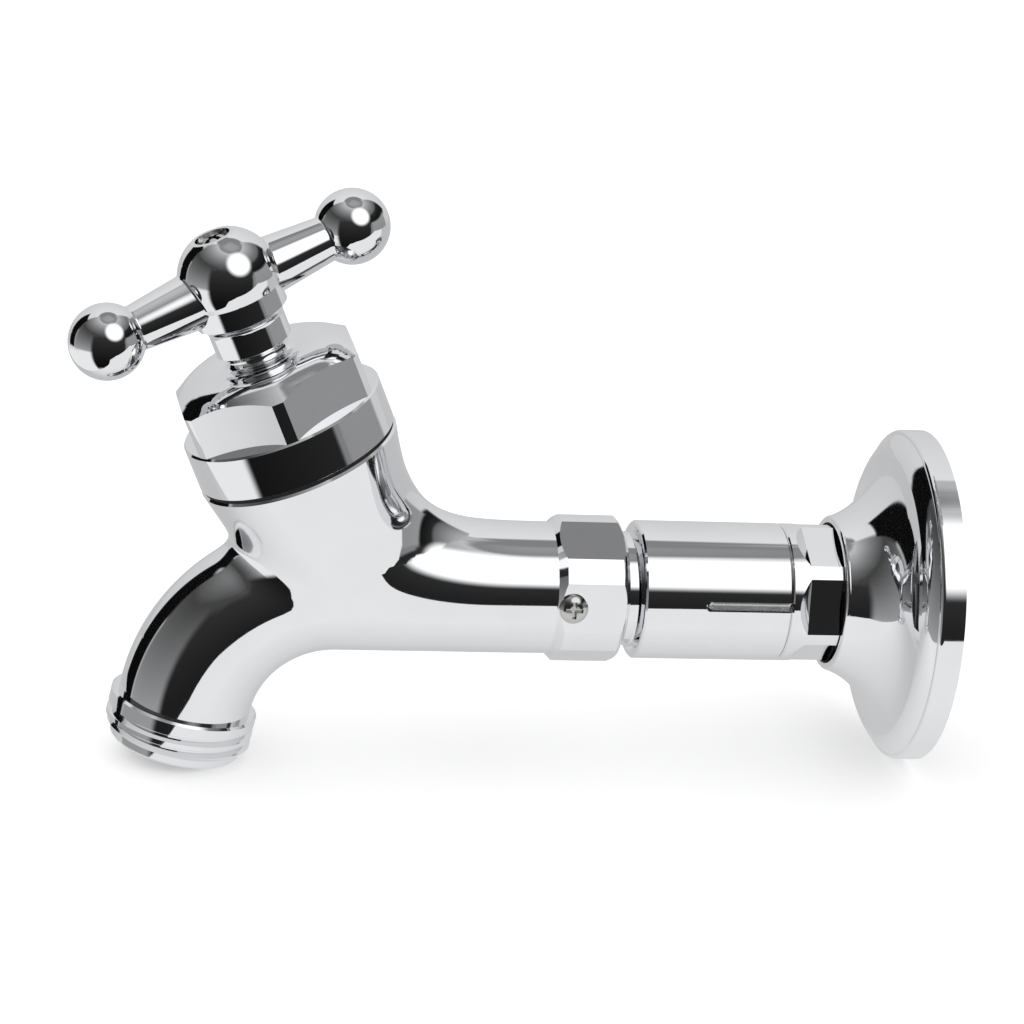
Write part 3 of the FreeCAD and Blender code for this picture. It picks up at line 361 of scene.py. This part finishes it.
def new_object(name: str, points: Array, faces: Array) -> bpy.types.Object:
    """A flat-shaded object from points in metres and faces of three or four corners each."""
    mesh = bpy.data.meshes.new(name)
    mesh.from_pydata(points.reshape(-1, 3).tolist(), [], faces.tolist())
    mesh.validate()
    return placed(name, mesh)


@dataclass(frozen=True)
class Studio:
    """Camera, surrounding, floor, and the cards, lamp and table that only reflections see."""
    location: tuple[float, float, float] = (-0.20773069, -0.63187658, 0.23993578)
    right: tuple[float, float, float] = (0.98127, -0.17216, 0.08639)
    up: tuple[float, float, float] = (-0.02301, 0.34051, 0.93996)
    lens: float = 134.42
    sensor: float = 36.0
    middle: tuple[float, float, float] = (-0.085, 0.0, 0.02)
    card_distance: float = 3.0
    layer_step: float = 0.04
    floor_size: float = 14.0
    spout_foot: tuple[float, float] = (-0.1372, -0.0331)
    flange_foot: tuple[float, float] = (-0.0020, -0.0303)
    paper: tuple[str, str] = ("#f0f0f0", "#f4f4f4")
    paper_grain: float = 0.012
    paper_glow: float = 0.30

    def build(self) -> None:
        """Set up everything round the tap."""
        self.add_camera()
        self.add_world()
        self.add_floor()
        for patch in (*CARDS, Lamp()):
            self.hang(patch)
        # The table sheet carries a painted shadow of the tap: it is greyer under and behind the tap.
        points, faces, light = TABLE_WITH_PAINTED_SHADOW.mesh()
        self.finish_card(TABLE_WITH_PAINTED_SHADOW.name, points, faces, light, np.ones_like(light))
        bpy.context.scene.view_settings.view_transform = "Standard"

    def add_camera(self) -> None:
        """The photograph's camera, from its place and its right and up directions."""
        right = Vector(self.right).normalized()
        up = Vector(self.up)
        up = (up - right * up.dot(right)).normalized()
        back = right.cross(up)
        data = bpy.data.cameras.new("camera")
        data.lens = self.lens
        data.sensor_width = self.sensor
        data.clip_end = 50.0
        camera = bpy.data.objects.new("camera", data)
        turn = Matrix((right, up, back)).transposed()
        camera.matrix_world = Matrix.Translation(self.location) @ turn.to_4x4()
        bpy.context.scene.collection.objects.link(camera)
        bpy.context.scene.camera = camera

    def add_world(self) -> None:
        """A plain pale surrounding of strength 1."""
        world = bpy.data.worlds.new("pale_room")
        world.use_nodes = True
        tree = world.node_tree
        tree.nodes.clear()
        light = add_node(tree, "ShaderNodeBackground", values={"Color": linear("#ffffff"), "Strength": 1.0})
        add_node(tree, "ShaderNodeOutputWorld", links={"Surface": light.outputs[0]})
        bpy.context.scene.world = world

    def add_floor(self) -> None:
        """The white floor, tilted so that it carries the flange's rim and the spout's end."""
        tilt = (self.flange_foot[1] - self.spout_foot[1]) / (self.flange_foot[0] - self.spout_foot[0])
        half = self.floor_size / 2
        x, y = np.meshgrid(np.linspace(-half, half, 3), np.linspace(-half, half, 3))
        z = self.flange_foot[1] + (x - self.flange_foot[0]) * tilt
        floor = new_object("floor", np.stack([x, y, z], -1), grid_faces(3, 3))
        material, tree = empty_material("white_paper")
        grain = add_node(tree, "ShaderNodeTexNoise", values={"Scale": 1 / self.paper_grain, "Detail": 3.0})
        tint = add_node(tree, "ShaderNodeMix", {"data_type": "RGBA"},
                        {6: linear(self.paper[0]), 7: linear(self.paper[1])}, {0: grain.outputs["Fac"]})
        matte = add_node(tree, "ShaderNodeBsdfDiffuse", links={"Color": tint.outputs[2]})
        shine = add_node(tree, "ShaderNodeEmission",
                         values={"Color": linear("#ffffff"), "Strength": self.paper_glow})
        both = add_node(tree, "ShaderNodeAddShader", links={0: matte.outputs[0], 1: shine.outputs[0]})
        add_node(tree, "ShaderNodeOutputMaterial", links={"Surface": both.outputs[0]})
        floor.data.materials.append(material)
        floor.visible_glossy = False

    def hang(self, patch: Card | Lamp) -> None:
        """Put a patch of the sky up round the tap's middle, the higher layers nearer."""
        directions, light, cover = patch.grid()
        distance = self.card_distance - patch.layer * self.layer_step
        points = np.asarray(self.middle) + directions * distance
        self.finish_card(patch.name, points, grid_faces(*light.shape), light, cover)

    def finish_card(self, name: str, points: Array, faces: Array, light: Array, cover: Array) -> None:
        """Make a card that only reflections see.

        Args:
            name: the card's name, which its object's name ends with.
            points: its points in metres.
            faces: corner numbers of its faces.
            light: linear light of each point.
            cover: how much of what lies behind each point the card hides, from 0 to 1.
        """
        card = new_object(f"card_{name}", points, faces)
        glow = card.data.color_attributes.new("glow", "FLOAT_COLOR", "POINT")
        flat = light.reshape(-1, 1)
        glow.data.foreach_set("color", np.hstack([flat, flat, flat, cover.reshape(-1, 1)]).ravel())
        card.data.materials.append(card_material(f"card_{name}"))
        card.visible_camera = False
        card.visible_diffuse = False
        card.visible_shadow = False
        card.visible_transmission = False


# Meshes

def surface_net(field: Callable[[Array], Array], low: Array, high: Array, step: float) -> tuple[Array, Array]:
    """Cover the zero surface of a field with quads.

    The box is cut into cubes. Each cube that the surface passes gets one point, which then slides onto the
    surface along the field's slope, and each cube edge that the surface passes gets the quad of the four
    points round it, turned so that it faces the positive side.

    Args:
        field: gives the signed distance of an (n, 3) array of points, negative inside.
        low: lowest corner of the box.
        high: highest corner of the box.
        step: side of a cube.

    Returns:
        The points as an (n, 3) array and the quads as an (m, 4) array of point numbers.
    """
    axes = [np.arange(start, end + step, step) for start, end in zip(low, high)]
    nodes = np.stack(np.meshgrid(*axes, indexing="ij"), -1)
    inside = (field(nodes.reshape(-1, 3)) < 0).reshape(nodes.shape[:3])
    count = sum(inside[i:inside.shape[0] - 1 + i, j:inside.shape[1] - 1 + j, k:inside.shape[2] - 1 + k]
                .astype(int) for i in (0, 1) for j in (0, 1) for k in (0, 1))
    passed = (count > 0) & (count < 8)
    number = np.full(passed.shape, -1)
    number[passed] = np.arange(passed.sum())
    points = nodes[:-1, :-1, :-1][passed] + step / 2
    quads = []
    for axis in range(3):
        first = np.moveaxis(inside, axis, 0)
        cells = np.moveaxis(number, axis, 0)
        crossing = first[:-1, 1:-1, 1:-1] != first[1:, 1:-1, 1:-1]
        ring = np.stack([cells[:, :-1, :-1][crossing], cells[:, 1:, :-1][crossing],
                         cells[:, 1:, 1:][crossing], cells[:, :-1, 1:][crossing]], -1)
        outwards = first[:-1, 1:-1, 1:-1][crossing] ^ (axis == 1)
        quads.append(np.where(outwards[:, None], ring, ring[:, ::-1]))
    for _ in range(NET_ROUNDS):
        points = points - field(points)[:, None] * slope(field, points)
    return points, np.concatenate(quads)


def slope(field: Callable[[Array], Array], points: Array, reach: float = 0.02) -> Array:
    """Unit directions in which a field grows fastest, from its values a little to each side."""
    offsets = np.eye(3) * reach
    rise = np.stack([field(points + offset) - field(points - offset) for offset in offsets], -1)
    return rise / np.maximum(np.linalg.norm(rise, axis=1, keepdims=True), 1e-9)


@dataclass(frozen=True)
class Lump:
    """Points, corner numbers of the faces, and one shading normal for each corner of each face."""
    points: Array
    faces: Array
    normals: Array


def merged_object(name: str, lumps: Sequence[Lump]) -> bpy.types.Object:
    """One object from several lumps, in metres, shaded by their own normals."""
    starts = np.cumsum([0] + [len(lump.points) for lump in lumps[:-1]])
    faces = [face for lump, start in zip(lumps, starts) for face in (lump.faces + start).tolist()]
    mesh = bpy.data.meshes.new(name)
    mesh.from_pydata(np.concatenate([lump.points for lump in lumps]).tolist(), [], faces)
    mesh.polygons.foreach_set("use_smooth", np.ones(len(mesh.polygons), bool))
    mesh.normals_split_custom_set(np.concatenate([lump.normals.reshape(-1, 3) for lump in lumps]).tolist())
    return placed(name, mesh)


def all_values(items: bpy.types.bpy_prop_collection, name: str, width: int, kind: type = float) -> Array:
    """One attribute of all items of a mesh, as an (n, width) array."""
    values = np.empty(len(items) * width, kind)
    items.foreach_get(name, values)
    return values.reshape(-1, width)


def node_lump(node: bpy.types.Object, keep: Callable[[Array], Array]) -> Lump:
    """A copy of a frame node's triangles, with its shading.

    Args:
        node: object of the frame. It stays as it is.
        keep: says for an (n, 3, 3) array of triangles, in millimetres, which of them are wanted.

    Returns:
        The wanted triangles in metres.
    """
    mesh = node.data
    points = all_values(mesh.vertices, "co", 3)
    faces = all_values(mesh.loops, "vertex_index", 1, int).reshape(-1, 3)
    normals = all_values(mesh.corner_normals, "vector", 3)
    wanted = keep(points[faces] / MM)
    return Lump(points, faces[wanted], normals.reshape(-1, 3, 3)[wanted])


# The tap's casting

@dataclass(frozen=True)
class Casting:
    """The outer skin of the cast body, in millimetres: tube, bent spout and the funnel under the bonnet.

    The tube keeps its radius along straight, bend and straight. The funnel is a cone that narrows a little
    faster below its waist and closes in a round foot inside the tube. A ball that rolls in the corner between
    the two rounds it off: a large one towards the pipe, a small one over the spout. The skin ends at the rim,
    at the inlet's hexagon and at the spout's outlet, where the frame's own body goes on.
    """
    pipe_radius: float = 11.9
    bend_x: float = -107.73
    bend_radius: float = 26.0
    bend_turn: float = 80.4
    outlet: tuple[float, float] = (-133.519, -22.579)
    seam: tuple[float, float] = (-116.468, 24.627)
    lean: float = 24.2
    rim_radius: float = 18.388
    rim_slope: float = 0.20879
    waist: float = 10.0
    waist_ease: float = 3.0
    low_slope: float = 0.27
    foot: float = 22.0
    ball_pipe: float = 16.5
    ball_spout: float = 3.0
    ball_fall: float = 3.0
    rim: float = -0.9
    hexagon_x: float = -69.9
    step: float = 0.8
    box_low: tuple[float, float, float] = (-148.0, -19.6, -26.0)
    box_high: tuple[float, float, float] = (-68.0, 19.6, 34.0)
    rim_reach: float = 0.6
    hair: float = 0.01
    overlap: float = 0.7
    kept_overlap: float = 0.05
    skin_depth: float = 0.9
    least_cosine: float = -0.6
    least_width: float = 0.01

    def up(self) -> Array:
        """Direction of the bonnet's axis."""
        lean = math.radians(self.lean)
        return np.array([-math.sin(lean), 0.0, math.cos(lean)])

    def down(self) -> Array:
        """Direction of the spout at its end."""
        turn = math.radians(90 + self.bend_turn)
        return np.array([-math.sin(turn), 0.0, math.cos(turn)])

    def tube(self, points: Array) -> tuple[Array, Array]:
        """Distance to the tube and the direction away from its middle line."""
        x, y, z = points.T
        right, over = x - self.bend_x, z + self.bend_radius
        angle = np.arctan2(over, right)
        end = math.radians(90 + self.bend_turn)
        rim = np.hypot(right, over)
        straight = right * math.cos(end) + over * math.sin(end)
        before = (right > 0) & (over > 0)
        after = ((angle > end) | (angle < 0)) & (right < 0)
        flat = np.where(before, z, np.where(after, straight - self.bend_radius, rim - self.bend_radius))
        out_x = np.where(before, 0.0, np.where(after, math.cos(end), right / np.maximum(rim, TINY)))
        out_z = np.where(before, 1.0, np.where(after, math.sin(end), over / np.maximum(rim, TINY)))
        away = np.hypot(flat, y)
        length = np.maximum(away, TINY)
        share = flat / length
        return away - self.pipe_radius, np.stack([share * out_x, y / length, share * out_z], -1)

    def bonnet_place(self, points: Array) -> tuple[Array, Array]:
        """Height over the bonnet's seam, and the part of each point's place that is square to the axis."""
        offset = points - np.array([self.seam[0], 0.0, self.seam[1]])
        height = offset @ self.up()
        return height, offset - height[:, None] * self.up()

    def funnel(self, points: Array) -> tuple[Array, Array]:
        """Distance to the funnel and the direction away from its axis, square to its side."""
        height, square = self.bonnet_place(points)
        away = np.linalg.norm(square, axis=1)
        radius, tilt = self.funnel_side(height)
        lean = np.sqrt(1 + tilt * tilt)
        side = (square / np.maximum(away, TINY)[:, None] - tilt[:, None] * self.up()) / lean[:, None]
        foot_radius, foot_tilt = (float(value[0]) for value in self.funnel_side(np.array([-self.foot])))
        foot_height = foot_radius * foot_tilt - self.foot
        offset = square + (height - foot_height)[:, None] * self.up()
        length = np.linalg.norm(offset, axis=1)
        below = height - foot_height < -foot_tilt * away
        distance = np.where(below, length - foot_radius * math.hypot(1, foot_tilt), (away - radius) / lean)
        return distance, np.where(below[:, None], offset / np.maximum(length, TINY)[:, None], side)

    def funnel_side(self, height: Array) -> tuple[Array, Array]:
        """Radius of the funnel at a height over the seam, and how fast it narrows there.

        At a depth d below the waist the slope is the rim's plus u times what the low slope has over it, with
        u = 1 - exp(-d / waist_ease). The radius is the seam's, less the slope's sum from the seam down.
        """
        depth = np.maximum(-height - self.waist, 0.0)
        turned = 1 - np.exp(-depth / self.waist_ease)
        extra = self.low_slope - self.rim_slope
        return (self.rim_radius + self.rim_slope * height - extra * (depth - self.waist_ease * turned),
                self.rim_slope + extra * turned)

    def ball(self, points: Array) -> Array:
        """Radius of the ball that rolls in the corner, by the turn round the bonnet's axis."""
        _, square = self.bonnet_place(points)
        side = np.array([self.up()[2], 0.0, -self.up()[0]])
        turn = np.arctan2(points[:, 1], square @ side)
        share = 1 - ((1 - np.cos(turn)) / 2) ** self.ball_fall
        return self.ball_spout + (self.ball_pipe - self.ball_spout) * share

    def field(self, points: Array) -> Array:
        """Signed distance to the skin.

        Where a and b are the two distances and c is the cosine between the two directions, the corner is
        filled over a width w = 6 r (1 - root of (1 + c) / 2), as far as a ball of radius r would fill it. The
        value is the smaller of a and b, less w h h h / 6, with h = 1 - |a - b| / w where that is above 0. So
        the skin's curvature has no jumps.
        """
        tube, tube_out = self.tube(points)
        funnel, funnel_out = self.funnel(points)
        cosine = np.clip((tube_out * funnel_out).sum(1), self.least_cosine, 1.0)
        width = 6 * self.ball(points) * (1 - np.sqrt((1 + cosine) / 2)) + self.least_width
        share = np.maximum(1 - np.abs(tube - funnel) / width, 0.0)
        return np.minimum(tube, funnel) - width * share ** 3 / 6

    def beyond(self, points: Array, inset: float) -> Array:
        """Whether points lie over the rim, or more than an inset inside the hexagon or the hose thread."""
        height, _ = self.bonnet_place(points)
        drop = (points - np.array([self.outlet[0], 0.0, self.outlet[1]])) @ self.down()
        return (points[:, 0] > self.hexagon_x + inset) | (drop > inset) | (height > self.rim)

    def lump(self) -> Lump:
        """The skin as quads, shaded by the field's own slope. It ends exactly on the rim's bevel."""
        points, quads = surface_net(self.field, np.array(self.box_low), np.array(self.box_high), self.step)
        near = self.bonnet_place(points)[0] > self.rim - self.step * self.rim_reach
        for _ in range(RIM_ROUNDS):
            edge = points[near]
            edge = edge + (self.rim - self.bonnet_place(edge)[0])[:, None] * self.up()
            points[near] = edge - self.field(edge)[:, None] * slope(self.field, edge)
        quads = quads[~self.beyond(points[quads].mean(1) - self.hair * self.up(), self.overlap)]
        normals = slope(self.field, points)
        used, quads = np.unique(quads, return_inverse=True)
        quads = quads.reshape(-1, 4)
        points, normals = points[used], normals[used]
        return Lump(points * MM, quads, normals[quads])

    def kept(self, triangles: Array) -> Array:
        """Which triangles of the frame's body stay: all but those of the casting's outside."""
        middle = triangles.mean(1)
        outside = np.minimum(self.tube(middle)[0], self.funnel(middle)[0]) > -self.skin_depth
        return self.beyond(middle, -self.kept_overlap) | ~outside

    def build(self) -> None:
        """Replace the frame's tap body by one whose blends flow as the real casting's do."""
        node = frame["nodes"]["tap_body"]
        body = merged_object("tap_casting", [node_lump(node, self.kept), self.lump()])
        body.data.materials.append(node.data.materials[0])
        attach(body, "tap")
        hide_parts("tap_body")
        log.info("tap_casting: %d faces", len(body.data.polygons))


# Shading of the frame's pieces

def dress_nodes() -> None:
    """Give every node of the frame the material of its slot."""
    materials = {slot: finish.material() for slot, finish in FINISHES.items()}
    slots = {entry["node"]: entry["material_slot"] for entry in frame["record"]["subparts"]}
    for name, node in frame["nodes"].items():
        node.data.materials.clear()
        node.data.materials.append(materials[Slot(slots[name])])
        log.info("%s: %s", name, slots[name])


def main() -> None:
    """Dress the tap and set up the studio."""
    logging.basicConfig(level=logging.INFO)
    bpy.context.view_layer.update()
    dress_nodes()
    Casting().build()
    Studio().build()


if __name__ == "__main__":
    main()
